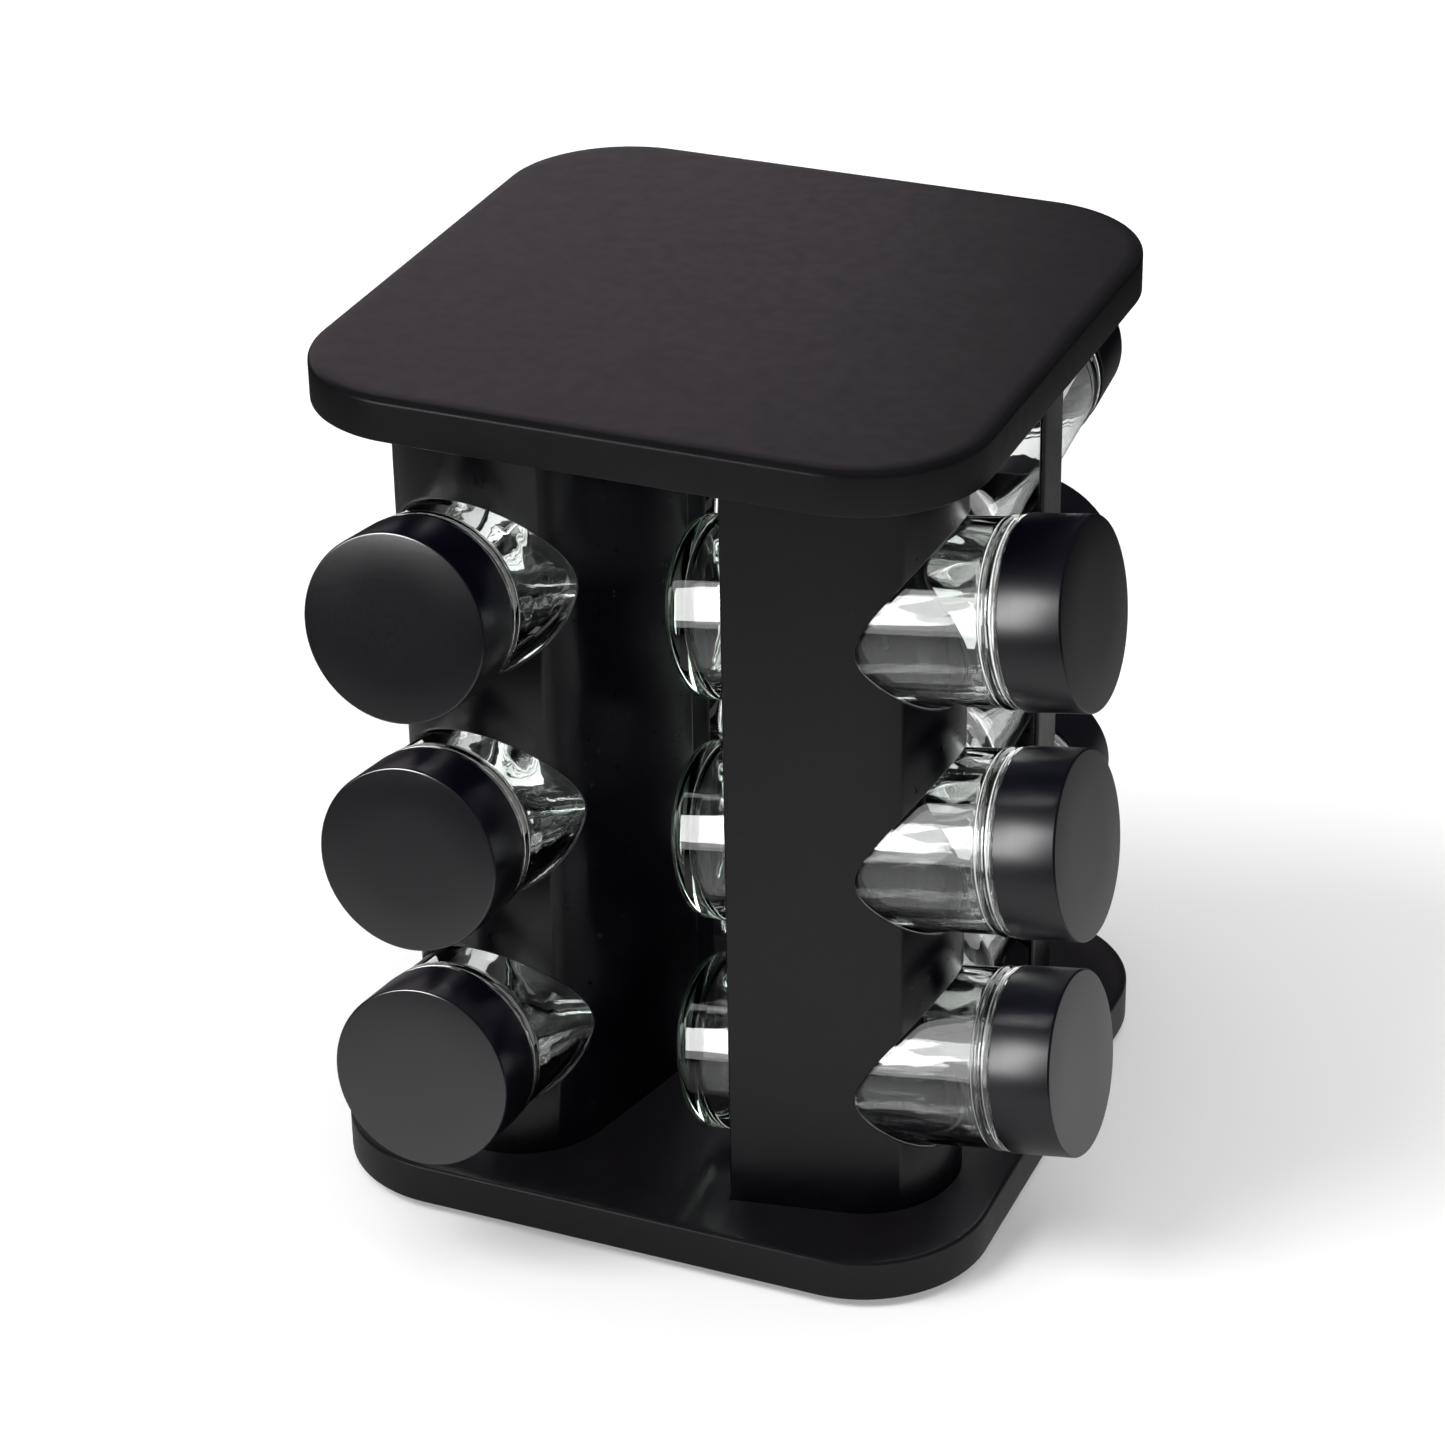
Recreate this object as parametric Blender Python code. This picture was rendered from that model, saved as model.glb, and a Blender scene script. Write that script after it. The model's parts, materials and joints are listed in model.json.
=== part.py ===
"""Revolving spice rack: two square plates, four open-backed columns and twelve tilted screw-lid jars.

Units are metres and +Z is up. The origin is on the floor, on the carousel's turning axis.
The rack has four-fold symmetry: everything on one column repeats every 90 degrees about Z.
Column 1 faces +X, column 2 +Y, column 3 -X and column 4 -Y.
"""
import math

import bmesh
import bpy
from mathutils import Matrix, Vector

# ---- driving dimensions -------------------------------------------------------------------
MM = 0.001
GAP = 0.3 * MM                       # running gap between neighbouring pieces
SIDES = 4                            # columns round the axis
TIERS = ("low", "mid", "top")        # jars up a column

BASE_LIFT = 2.5 * MM                 # base plate's underside above the floor
RACK_HEIGHT = 238.0 * MM             # base underside to top face
PLATE_THICK = 12.0 * MM
TOP_SIDE = 180.0 * MM
TOP_CORNER = 34.0 * MM
TOP_ROUND = 3.0 * MM                 # soft upper edge of the top plate
BASE_SIDE = 184.0 * MM
BASE_CORNER = 35.0 * MM
BASE_ROUND = 1.0 * MM
EDGE_BREAK = 0.5 * MM                # small round on the plates' lower edges
GROOVE_DEPTH = 1.5 * MM              # seats of the column ends in both plates

SHEET = 1.5 * MM                     # column wall
NOSE_X, NOSE_Y = 52.5 * MM, -44.4 * MM
NOSE_RADIUS = 26.1 * MM              # outside of the rounded nose
OUTER_LEG_END = Vector((26.3 * MM, -75.0 * MM))
INNER_LEG_END = Vector((13.5 * MM, -9.0 * MM))
NOSE_STEPS = 12

JAR_TILT = math.radians(9.3)         # lid end up
JAR_LENGTH = 107.0 * MM              # glass bottom to lid face
LID_FACE_X = 113.0 * MM              # centre of the lid face
LOW_FACE_Z = 56.6 * MM               # lowest lid face centre above the base underside
TIER_STEP = 65.7 * MM
GLASS_RADIUS = 23.8 * MM
LID_RADIUS = 24.6 * MM
LID_HEIGHT = 16.6 * MM
HOLE_RADIUS = 24.25 * MM             # jar hole through the nose
JAR_SEGMENTS = 16
SIFTER_SEGMENTS = 12

CRADLE_X = 29.5 * MM                 # rib that carries the jar's inner end
CRADLE_THICK = 2.5 * MM
CRADLE_DROP = 28.0 * MM              # rib's foot below the jar's axis
CRADLE_RISE = 13.0 * MM              # rib's shoulders below the jar's axis

SCREW_X = 38.0 * MM                  # one screw through the base into each column
BOSS_RADIUS = 4.0 * MM
BOSS_TOP = 28.0 * MM
PILOT_RADIUS = 1.75 * MM

RECESS_RADIUS = 63.0 * MM            # round recess under the base for the swivel foot
FOOT_RADIUS = 60.0 * MM
TRACK_RADIUS = 42.0 * MM             # ball circle
TRACK_HALF = 4.5 * MM
BALL_RADIUS = 2.0 * MM
BALLS = 6
PADS = 4
PAD_RADIUS = 7.0 * MM
PAD_CIRCLE = 49.0 * MM

BASE_TOP = BASE_LIFT + PLATE_THICK
TOP_FACE = BASE_LIFT + RACK_HEIGHT
TOP_UNDER = TOP_FACE - PLATE_THICK


# ---- helpers --------------------------------------------------------------------------------
def clear_scene():
    for old in list(bpy.data.objects):
        bpy.data.objects.remove(old, do_unlink=True)


def material(name, colour, roughness, metallic=0.0, transmission=0.0):
    """A plain Principled material with one colour."""
    made = bpy.data.materials.new(name)
    made.use_nodes = True
    shader = made.node_tree.nodes["Principled BSDF"]
    shader.inputs["Base Color"].default_value = (*colour, 1.0)
    shader.inputs["Roughness"].default_value = roughness
    shader.inputs["Metallic"].default_value = metallic
    shader.inputs["Transmission Weight"].default_value = transmission
    made.diffuse_color = (*colour, 1.0)
    return made


def add_object(name, mesh, finish=None):
    obj = bpy.data.objects.new(name, mesh)
    bpy.context.scene.collection.objects.link(obj)
    if finish is not None and not mesh.materials:
        mesh.materials.append(finish)
    return obj


def mesh_from(name, bm):
    """Store a closed bmesh, with its faces turned outwards and its round faces smooth."""
    bmesh.ops.recalc_face_normals(bm, faces=bm.faces)
    mesh = bpy.data.meshes.new(name)
    bm.to_mesh(mesh)
    bm.free()
    mesh.shade_smooth()
    mesh.set_sharp_from_angle(angle=math.radians(35))
    return mesh


def loft(name, rings, ring_shaped=False):
    """Skin a list of point rings. Flat ends close it, or the last ring joins the first."""
    bm = bmesh.new()
    loops = [[bm.verts.new(point) for point in ring] for ring in rings]
    pairs = list(zip(loops, loops[1:]))
    if ring_shaped:
        pairs.append((loops[-1], loops[0]))
    else:
        bm.faces.new(loops[0])
        bm.faces.new(loops[-1])
    for lower, upper in pairs:
        count = len(lower)
        for i in range(count):
            j = (i + 1) % count
            bm.faces.new((lower[i], lower[j], upper[j], upper[i]))
    return mesh_from(name, bm)


def circle(radius, z, segments, centre=(0.0, 0.0)):
    step = 2.0 * math.pi / segments
    return [(centre[0] + radius * math.cos(i * step), centre[1] + radius * math.sin(i * step), z)
            for i in range(segments)]


def turned(name, profile, segments, centre=(0.0, 0.0), ring_shaped=False):
    """A turned solid from (radius, z) points, in order along its skin."""
    return loft(name, [circle(r, z, segments, centre) for r, z in profile], ring_shaped)


def rounded_square(side, corner, z, steps=6):
    """A square outline with round corners."""
    points = []
    reach = side / 2 - corner
    for quarter in range(4):
        start = quarter * math.pi / 2
        middle = start + math.pi / 4
        cx = math.copysign(reach, math.cos(middle))
        cy = math.copysign(reach, math.sin(middle))
        for i in range(steps + 1):
            angle = start + i / steps * math.pi / 2
            points.append((cx + corner * math.cos(angle), cy + corner * math.sin(angle), z))
    return points


def slab(name, side, corner, low, high, top_round):
    """A plate with a quarter-round upper edge and a small break on the lower one."""
    steps = 2
    insets = [(EDGE_BREAK, low), (0.0, low + EDGE_BREAK)]
    for i in range(steps + 1):
        angle = i / steps * math.pi / 2
        insets.append((top_round * (1 - math.cos(angle)), high - top_round * (1 - math.sin(angle))))
    return loft(name, [rounded_square(side - 2 * inset, corner - inset, z) for inset, z in insets])


def combine(target, tool_mesh, operation, matrix=Matrix.Identity(4)):
    """Cut or join a tool solid with the target object, and keep the result as its mesh."""
    tool = add_object("tool", tool_mesh)
    tool.matrix_world = matrix
    tool.hide_render = True
    tool.display_type = "WIRE"
    boolean = target.modifiers.new("combine", "BOOLEAN")
    boolean.operation = operation
    boolean.solver = "EXACT"
    boolean.object = tool
    bpy.context.view_layer.update()
    evaluated = target.evaluated_get(bpy.context.evaluated_depsgraph_get())
    result = bpy.data.meshes.new_from_object(evaluated)
    target.modifiers.remove(boolean)
    target.data = result
    bpy.data.objects.remove(tool, do_unlink=True)


def turn(side):
    """The rotation that carries column 1 to another side of the rack."""
    return Matrix.Rotation(side * 2.0 * math.pi / SIDES, 4, "Z")


# ---- column outline ----------------------------------------------------------------------------
def tangent_angle(end, turn_sign):
    """Angle at the nose centre where a straight leg to the given end leaves the nose arc."""
    away = end - Vector((NOSE_X, NOSE_Y))
    middle_radius = NOSE_RADIUS - SHEET / 2
    return math.atan2(away.y, away.x) + turn_sign * math.acos(middle_radius / away.length)


def column_path():
    """Middle line of the column wall: outer leg end, round the nose, inner leg end."""
    middle_radius = NOSE_RADIUS - SHEET / 2
    start = tangent_angle(OUTER_LEG_END, +1.0)
    stop = tangent_angle(INNER_LEG_END, -1.0)
    path = [OUTER_LEG_END.copy()]
    for i in range(NOSE_STEPS + 1):
        angle = start + (stop - start) * i / NOSE_STEPS
        path.append(Vector((NOSE_X + middle_radius * math.cos(angle),
                            NOSE_Y + middle_radius * math.sin(angle))))
    path.append(INNER_LEG_END.copy())
    return path


def leg_y(path, x, outer):
    """Y of a leg's middle line at a given X."""
    end, root = (path[0], path[1]) if outer else (path[-1], path[-2])
    return end.y + (root.y - end.y) * (x - end.x) / (root.x - end.x)


def wall_outline(path, half, extend=0.0):
    """Closed outline of a wall of the given half thickness along the path."""
    left, right = [], []
    for i, point in enumerate(path):
        before = path[max(i - 1, 0)]
        after = path[min(i + 1, len(path) - 1)]
        along = (after - before).normalized()
        across = Vector((-along.y, along.x))
        place = point.copy()
        if i == 0:
            place -= along * extend
        if i == len(path) - 1:
            place += along * extend
        left.append(place + across * half)
        right.append(place - across * half)
    return left + right[::-1]


def prism(name, outline, low, high):
    return loft(name, [[(p[0], p[1], z) for p in outline] for z in (low, high)])


# ---- jar placing ---------------------------------------------------------------------------------
def jar_axis():
    return Vector((math.cos(JAR_TILT), 0.0, math.sin(JAR_TILT)))


def jar_foot(tier):
    """Centre of the glass bottom on column 1."""
    face = Vector((LID_FACE_X, NOSE_Y, BASE_LIFT + LOW_FACE_Z + tier * TIER_STEP))
    return face - jar_axis() * JAR_LENGTH


def jar_matrix(tier):
    return Matrix.Translation(jar_foot(tier)) @ Matrix.Rotation(math.pi / 2 - JAR_TILT, 4, "Y")


def place_on_axis(obj, side, tier):
    """Put a turned piece on a jar's axis, its local Z pointing out of the rack."""
    obj.location = turn(side) @ jar_foot(tier)
    obj.rotation_euler = (0.0, math.pi / 2 - JAR_TILT, side * 2.0 * math.pi / SIDES)


# ---- plates ----------------------------------------------------------------------------------------
def cut_grooves(plate, low, high):
    """Shallow grooves that take the ends of the four columns."""
    outline = wall_outline(column_path(), SHEET / 2 + GAP, GAP)
    for side in range(SIDES):
        combine(plate, prism("groove", outline, low, high), "DIFFERENCE", turn(side))


def screw_place():
    """Axis of column 1's fixing screw, beside the outer leg."""
    return Vector((SCREW_X, leg_y(column_path(), SCREW_X, True) + BOSS_RADIUS))


def build_top_plate(finish):
    plate = add_object("top_plate", slab("top_plate", TOP_SIDE, TOP_CORNER, TOP_UNDER, TOP_FACE, TOP_ROUND))
    cut_grooves(plate, TOP_UNDER - MM, TOP_UNDER + GROOVE_DEPTH)
    plate.data.materials.append(finish)


SKIN_UNDER = 11.0 * MM               # ceiling of the recess under the base
UPPER_TRACK = 8.6 * MM               # face of the race ring that the balls carry
LOWER_TRACK = 4.4 * MM
BOSS_UNDER = 7.2 * MM                # end face of the pivot boss
PIVOT_BOSS_RADIUS = 7.0 * MM
PIVOT_HOLE_RADIUS = 2.3 * MM
PIVOT_HOLE_TOP = 12.6 * MM
HEAD_POCKET_RADIUS = 3.6 * MM
HEAD_POCKET_TOP = 10.5 * MM


def build_base_plate(finish):
    """Base with the swivel recess, pivot boss and race ring below, and screw holes."""
    plate = add_object("base_plate", slab("base_plate", BASE_SIDE, BASE_CORNER, BASE_LIFT, BASE_TOP, BASE_ROUND))
    below = BASE_LIFT - MM
    recess = [(RECESS_RADIUS, below), (RECESS_RADIUS, SKIN_UNDER),
              (TRACK_RADIUS + TRACK_HALF, SKIN_UNDER), (TRACK_RADIUS + TRACK_HALF, UPPER_TRACK),
              (TRACK_RADIUS - TRACK_HALF, UPPER_TRACK), (TRACK_RADIUS - TRACK_HALF, SKIN_UNDER),
              (PIVOT_BOSS_RADIUS, SKIN_UNDER), (PIVOT_BOSS_RADIUS, BOSS_UNDER)]
    combine(plate, turned("recess", recess, 24), "DIFFERENCE")
    pivot = [(PIVOT_HOLE_RADIUS, below), (PIVOT_HOLE_RADIUS, PIVOT_HOLE_TOP)]
    combine(plate, turned("pivot_hole", pivot, 12), "DIFFERENCE")
    cut_grooves(plate, BASE_TOP - GROOVE_DEPTH, BASE_TOP + MM)
    place = screw_place()
    pocket = [(HEAD_POCKET_RADIUS, below), (HEAD_POCKET_RADIUS, HEAD_POCKET_TOP),
              (PILOT_RADIUS, HEAD_POCKET_TOP), (PILOT_RADIUS, BASE_TOP + MM)]
    for side in range(SIDES):
        combine(plate, turned("screw_hole", pocket, 12, place), "DIFFERENCE", turn(side))
    plate.data.materials.append(finish)


# ---- columns ----------------------------------------------------------------------------------------
def build_columns(finish):
    """Four horseshoe columns with three jar holes, three cradle ribs and a screw boss each."""
    path = column_path()
    low = BASE_TOP - GROOVE_DEPTH + GAP
    high = TOP_UNDER + GROOVE_DEPTH - GAP
    column = add_object("column_1", prism("column", wall_outline(path, SHEET / 2), low, high))
    for tier in range(len(TIERS)):
        foot = jar_foot(tier)
        axis_z = foot.z + (CRADLE_X - foot.x) * math.tan(JAR_TILT)
        xs = (CRADLE_X, CRADLE_X + CRADLE_THICK)
        corners = [(xs[0], leg_y(path, xs[0], True)), (xs[1], leg_y(path, xs[1], True)),
                   (xs[1], leg_y(path, xs[1], False)), (xs[0], leg_y(path, xs[0], False))]
        combine(column, prism("rib", corners, axis_z - CRADLE_DROP, axis_z - CRADLE_RISE), "UNION")
    place = screw_place()
    boss = [(BOSS_RADIUS, BASE_TOP + GAP), (BOSS_RADIUS, BOSS_TOP)]
    combine(column, turned("boss", boss, 12, place), "UNION")
    pilot = [(PILOT_RADIUS, BASE_TOP - MM), (PILOT_RADIUS, BOSS_TOP - MM)]
    combine(column, turned("pilot", pilot, 12, place), "DIFFERENCE")
    hole = [(HOLE_RADIUS, 14.0 * MM), (HOLE_RADIUS, 96.0 * MM)]
    for tier in range(len(TIERS)):
        combine(column, turned("jar_hole", hole, 24), "DIFFERENCE", jar_matrix(tier))
    column.data.materials.append(finish)
    for side in range(1, SIDES):
        other = add_object(f"column_{side + 1}", column.data)
        other.rotation_euler.z = side * 2.0 * math.pi / SIDES


# ---- jars ----------------------------------------------------------------------------------------------
NECK_RADIUS = 21.0 * MM
MOUTH_RADIUS = 18.4 * MM
RIM_Z = 104.1 * MM
BEAD_RADIUS = 24.3 * MM
BEAD_LOW, BEAD_HIGH = 84.8 * MM, 90.0 * MM
INNER_RADIUS = 21.6 * MM
LID_WALL_RADIUS = 21.6 * MM
LID_TOP_THICK = 1.4 * MM
LID_EDGE = 0.6 * MM


def jar_mesh():
    """Glass jar along local Z: round heel, straight body, bead under the lid, neck and thick floor."""
    profile = [(19.8 * MM, 0.0), (22.6 * MM, 1.2 * MM), (GLASS_RADIUS, 4.4 * MM),
               (GLASS_RADIUS, BEAD_LOW), (BEAD_RADIUS, BEAD_LOW + 0.9 * MM),
               (BEAD_RADIUS, BEAD_HIGH - 0.9 * MM), (NECK_RADIUS, BEAD_HIGH), (NECK_RADIUS, RIM_Z),
               (MOUTH_RADIUS, RIM_Z), (MOUTH_RADIUS, 91.3 * MM), (INNER_RADIUS, 85.8 * MM),
               (INNER_RADIUS, 9.0 * MM), (18.0 * MM, 5.4 * MM)]
    return turned("glass_jar", profile, JAR_SEGMENTS)


def lid_mesh():
    """Screw lid: a shallow cup whose skirt ends just above the jar's bead."""
    bottom = JAR_LENGTH - LID_HEIGHT
    profile = [(LID_RADIUS - LID_EDGE, JAR_LENGTH), (LID_RADIUS, JAR_LENGTH - LID_EDGE),
               (LID_RADIUS, bottom), (LID_WALL_RADIUS, bottom),
               (LID_WALL_RADIUS, JAR_LENGTH - LID_TOP_THICK)]
    return turned("screw_lid", profile, JAR_SEGMENTS)


def sifter_mesh():
    """Shaker insert: a flanged cup that plugs the mouth, with sprinkling holes in its floor."""
    plug, inner, flange = 17.7 * MM, 16.7 * MM, 20.4 * MM
    floor, flange_low = 100.2 * MM, RIM_Z + GAP
    flange_high = flange_low + 0.9 * MM
    profile = [(plug, floor), (plug, flange_low), (flange, flange_low), (flange, flange_high),
               (inner, flange_high), (inner, floor + MM)]
    sifter = add_object("sifter_blank", turned("sifter", profile, SIFTER_SEGMENTS))
    holes = 3
    for i in range(holes):
        angle = i * 2.0 * math.pi / holes
        place = (9.0 * MM * math.cos(angle), 9.0 * MM * math.sin(angle))
        hole = [(1.8 * MM, floor - MM), (1.8 * MM, floor + 2.0 * MM)]
        combine(sifter, turned("sprinkle_hole", hole, 6, place), "DIFFERENCE")
    mesh = sifter.data
    bpy.data.objects.remove(sifter, do_unlink=True)
    return mesh


def build_jars(glass, lid_finish, sifter_finish):
    pieces = (("jar", jar_mesh(), glass), ("lid", lid_mesh(), lid_finish),
              ("sifter", sifter_mesh(), sifter_finish))
    for kind, mesh, finish in pieces:
        mesh.materials.clear()
        mesh.materials.append(finish)
        for side in range(SIDES):
            for tier, label in enumerate(TIERS):
                place_on_axis(add_object(f"{kind}_{side + 1}_{label}", mesh), side, tier)


# ---- swivel base ------------------------------------------------------------------------------------------
FOOT_UNDER = 1.5 * MM
FOOT_TOP = 3.9 * MM
HUB_RADIUS = 9.0 * MM
HUB_BORE = 2.5 * MM
WASHER_POCKET_RADIUS = 6.5 * MM
WASHER_POCKET_TOP = 4.1 * MM


def build_swivel(plastic, rubber, steel):
    """Round foot, rubber pads, ball ring, pivot screw with its washer, and column screws."""
    outer, inner = TRACK_RADIUS + TRACK_HALF, TRACK_RADIUS - TRACK_HALF
    foot = [(FOOT_RADIUS, FOOT_UNDER), (FOOT_RADIUS, FOOT_TOP), (outer, FOOT_TOP), (outer, LOWER_TRACK),
            (inner, LOWER_TRACK), (inner, FOOT_TOP), (HUB_RADIUS, FOOT_TOP),
            (HUB_RADIUS, BOSS_UNDER - GAP), (HUB_BORE, BOSS_UNDER - GAP), (HUB_BORE, WASHER_POCKET_TOP),
            (WASHER_POCKET_RADIUS, WASHER_POCKET_TOP), (WASHER_POCKET_RADIUS, FOOT_UNDER)]
    add_object("swivel_foot", turned("swivel_foot", foot, 24, ring_shaped=True), plastic)

    pad_mesh = turned("pad", [(PAD_RADIUS, 0.0), (PAD_RADIUS, FOOT_UNDER - GAP)], 16)
    for i in range(PADS):
        angle = (i + 0.5) * 2.0 * math.pi / PADS
        pad = add_object(f"rubber_pad_{i + 1}", pad_mesh, rubber)
        pad.location = (PAD_CIRCLE * math.cos(angle), PAD_CIRCLE * math.sin(angle), 0.0)

    ball_z = (UPPER_TRACK + LOWER_TRACK) / 2
    ring_low, ring_high = ball_z - 0.5 * MM, ball_z + 0.5 * MM
    ring_profile = [(TRACK_RADIUS + 3.8 * MM, ring_low), (TRACK_RADIUS + 3.8 * MM, ring_high),
                    (TRACK_RADIUS - 3.8 * MM, ring_high), (TRACK_RADIUS - 3.8 * MM, ring_low)]
    cage = add_object("ball_cage", turned("ball_cage", ring_profile, 30, ring_shaped=True))
    bm = bmesh.new()
    bmesh.ops.create_icosphere(bm, subdivisions=2, radius=BALL_RADIUS)
    ball_mesh = mesh_from("ball", bm)
    for i in range(BALLS):
        angle = (i + 0.5) * 2.0 * math.pi / BALLS
        centre = (TRACK_RADIUS * math.cos(angle), TRACK_RADIUS * math.sin(angle))
        window = [(BALL_RADIUS + GAP, ring_low - MM), (BALL_RADIUS + GAP, ring_high + MM)]
        combine(cage, turned("window", window, 8, centre), "DIFFERENCE")
        ball = add_object(f"ball_{i + 1}", ball_mesh, steel)
        ball.location = (centre[0], centre[1], ball_z)
    cage.data.materials.append(plastic)

    head_low, head_high, shank = 1.0 * MM, 2.9 * MM, 2.0 * MM
    pivot = [(4.3 * MM, head_low), (4.3 * MM, head_high), (shank, head_high), (shank, PIVOT_HOLE_TOP - GAP)]
    add_object("pivot_screw", turned("pivot_screw", pivot, 16), steel)
    washer = [(5.9 * MM, 3.2 * MM), (5.9 * MM, 3.8 * MM), (2.4 * MM, 3.8 * MM), (2.4 * MM, 3.2 * MM)]
    add_object("pivot_washer", turned("pivot_washer", washer, 16, ring_shaped=True), steel)

    place = screw_place()
    head_top = HEAD_POCKET_TOP - GAP
    screw = [(3.1 * MM, head_top - 2.0 * MM), (3.1 * MM, head_top), (1.4 * MM, head_top),
             (1.4 * MM, BOSS_TOP - 3.0 * MM)]
    screw_mesh = turned("column_screw", screw, 12)
    for side in range(SIDES):
        obj = add_object(f"column_screw_{side + 1}", screw_mesh, steel)
        obj.location = turn(side) @ Vector((place.x, place.y, 0.0))


# ---- the whole rack -----------------------------------------------------------------------------------------
def main():
    clear_scene()
    plate_black = material("plate_black", (0.035, 0.034, 0.036), 0.5)
    column_black = material("column_black", (0.018, 0.018, 0.022), 0.35)
    lid_black = material("lid_black", (0.03, 0.03, 0.036), 0.35, metallic=0.6)
    glass = material("clear_glass", (0.93, 0.97, 0.95), 0.02, transmission=1.0)
    insert_black = material("insert_black", (0.02, 0.02, 0.02), 0.5)
    foot_black = material("foot_black", (0.02, 0.02, 0.02), 0.6)
    rubber = material("rubber", (0.03, 0.03, 0.03), 0.9)
    steel = material("steel", (0.6, 0.6, 0.62), 0.25, metallic=1.0)
    build_top_plate(plate_black)
    build_base_plate(plate_black)
    build_columns(column_black)
    build_jars(glass, lid_black, insert_black)
    build_swivel(foot_black, rubber, steel)


main()
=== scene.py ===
"""Looks of the spice carousel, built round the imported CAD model. Metres, +Z up.

Places come from the frame: the plates' and columns' boxes, and each lid's joint, which gives
the centre of the lid's face and the jar's axis. Column 1 faces +X, 2 +Y, 3 -X and 4 -Y.
"""
import json
import math

import bmesh
import bpy
from mathutils import Matrix, Vector


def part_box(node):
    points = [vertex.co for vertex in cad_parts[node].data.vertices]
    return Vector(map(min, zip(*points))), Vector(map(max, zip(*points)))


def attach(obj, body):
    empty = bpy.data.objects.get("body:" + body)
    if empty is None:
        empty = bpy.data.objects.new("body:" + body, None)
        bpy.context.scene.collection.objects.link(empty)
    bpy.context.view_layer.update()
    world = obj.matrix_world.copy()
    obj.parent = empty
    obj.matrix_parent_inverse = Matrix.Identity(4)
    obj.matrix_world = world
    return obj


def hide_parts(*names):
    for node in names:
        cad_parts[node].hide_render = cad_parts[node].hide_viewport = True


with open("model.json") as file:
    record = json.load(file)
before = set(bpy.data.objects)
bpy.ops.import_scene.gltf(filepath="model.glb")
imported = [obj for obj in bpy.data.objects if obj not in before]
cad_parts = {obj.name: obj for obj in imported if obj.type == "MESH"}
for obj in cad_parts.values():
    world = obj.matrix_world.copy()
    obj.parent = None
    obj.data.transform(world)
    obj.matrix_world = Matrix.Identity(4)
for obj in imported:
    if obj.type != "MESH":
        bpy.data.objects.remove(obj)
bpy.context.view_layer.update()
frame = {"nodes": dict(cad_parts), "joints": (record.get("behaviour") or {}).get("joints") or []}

MM = 0.001
TIERS = ("low", "mid", "top")
SIDES = 4
SMOOTH_ANGLE = math.radians(40)
AXIS = 0.4 * MM                      # a turned solid closes on a disc of this radius

# plates
TOP_CORNER = 34.0 * MM
TOP_ROUND = 1.8 * MM
BASE_CORNER = 35.0 * MM
BASE_ROUND = 1.1 * MM
CROWN = 3.0 * MM                     # width of the slight fall towards a plate's upper edge
CROWN_TILT = math.radians(7.0)
LOWER_ROUND = 0.5 * MM
GAP = 0.3 * MM                       # play between parts that fit into each other
PIVOT_HOLE_RADIUS = 2.3 * MM
SCREW_HOLE_RADIUS = 1.75 * MM

# columns
SHEET = 1.5 * MM
NOSE = Vector((52.5 * MM, -44.4 * MM))
NOSE_RADIUS = 26.1 * MM
OUTER_LEG_END = Vector((26.3 * MM, -75.0 * MM))
INNER_LEG_END = Vector((13.5 * MM, -9.0 * MM))
HOLE_RADIUS = 24.25 * MM
HOLE_EDGE = 0.9 * MM                 # round of the wall into a jar hole
RIB_X, RIB_THICK = 29.5 * MM, 2.5 * MM
RIB_DEPTH = 28.0 * MM                # from the jar's axis down to a rib's lower edge
RIB_SHOULDER = 13.0 * MM             # from the jar's axis down to a rib's upper corners
BOSS_RADIUS, BOSS_TOP = 4.0 * MM, 28.0 * MM

# jars and lids, measured along their axis from the glass bottom
JAR_LENGTH = 107.0 * MM
GLASS_RADIUS = 23.8 * MM
NECK_RADIUS = 21.0 * MM
MOUTH_RADIUS = 18.4 * MM
RIM_Z = 104.1 * MM
BEAD_RADIUS = 24.3 * MM
BEAD_LOW, BEAD_HIGH = 84.8 * MM, 90.0 * MM
INNER_RADIUS = 21.6 * MM
PUNT_DEPTH = 1.6 * MM                # hollow in the middle of the glass bottom
LID_RADIUS = 24.6 * MM
LID_HEIGHT = 16.6 * MM
LID_BORE = 21.6 * MM
LID_TOP_WALL = 1.4 * MM
EASE = 0.3 * MM                      # small round or bevel on a lid's and an insert's edges

# swivel, heights above the table
FOOT_RADIUS = 60.0 * MM
FOOT_LOW, FOOT_HIGH = 1.5 * MM, 3.9 * MM
TRACK_OUTER, TRACK_INNER = 46.5 * MM, 37.5 * MM
HUB_RADIUS = 9.0 * MM
PAD_RADIUS, PAD_HEIGHT = 7.0 * MM, 1.2 * MM
PADS = 4

# camera: angles in degrees, and lengths in top plate sides from the base's underside
CAMERA_AZIMUTH, CAMERA_ELEVATION, CAMERA_ROLL = 23.205, 28.906, -1.07
CAMERA_TARGET = Vector((0.0001, -0.0744, 0.6628))
CAMERA_DISTANCE = 6.2784
CAMERA_LENS = 105.22                 # mm, on a sensor 36 mm wide

# stage and light
RACK_MIDDLE = Vector((0.0, 0.0, 0.12))
FLOOR_WHITE = 0.93
# strength of the table card's glow, a painted reflection of a lit table
TABLE_GLOW = 0.68
# the white room's strength as the camera, matt, satin and glass surfaces meet it
ROOM_SEEN, ROOM_ON_MATT, ROOM_IN_SATIN, ROOM_IN_GLASS = 0.98, 0.20, 0.06, 3.2


# ---- mesh helpers ----------------------------------------------------------------------------
def smooth(mesh):
    """The mesh, shaded smooth except across sharp edges."""
    mesh.shade_smooth()
    mesh.set_sharp_from_angle(angle=SMOOTH_ANGLE)
    return mesh


def finish_mesh(name, bm):
    """A smooth mesh with outward faces."""
    bmesh.ops.recalc_face_normals(bm, faces=bm.faces)
    mesh = bpy.data.meshes.new(name)
    bm.to_mesh(mesh)
    bm.free()
    return smooth(mesh)


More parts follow.
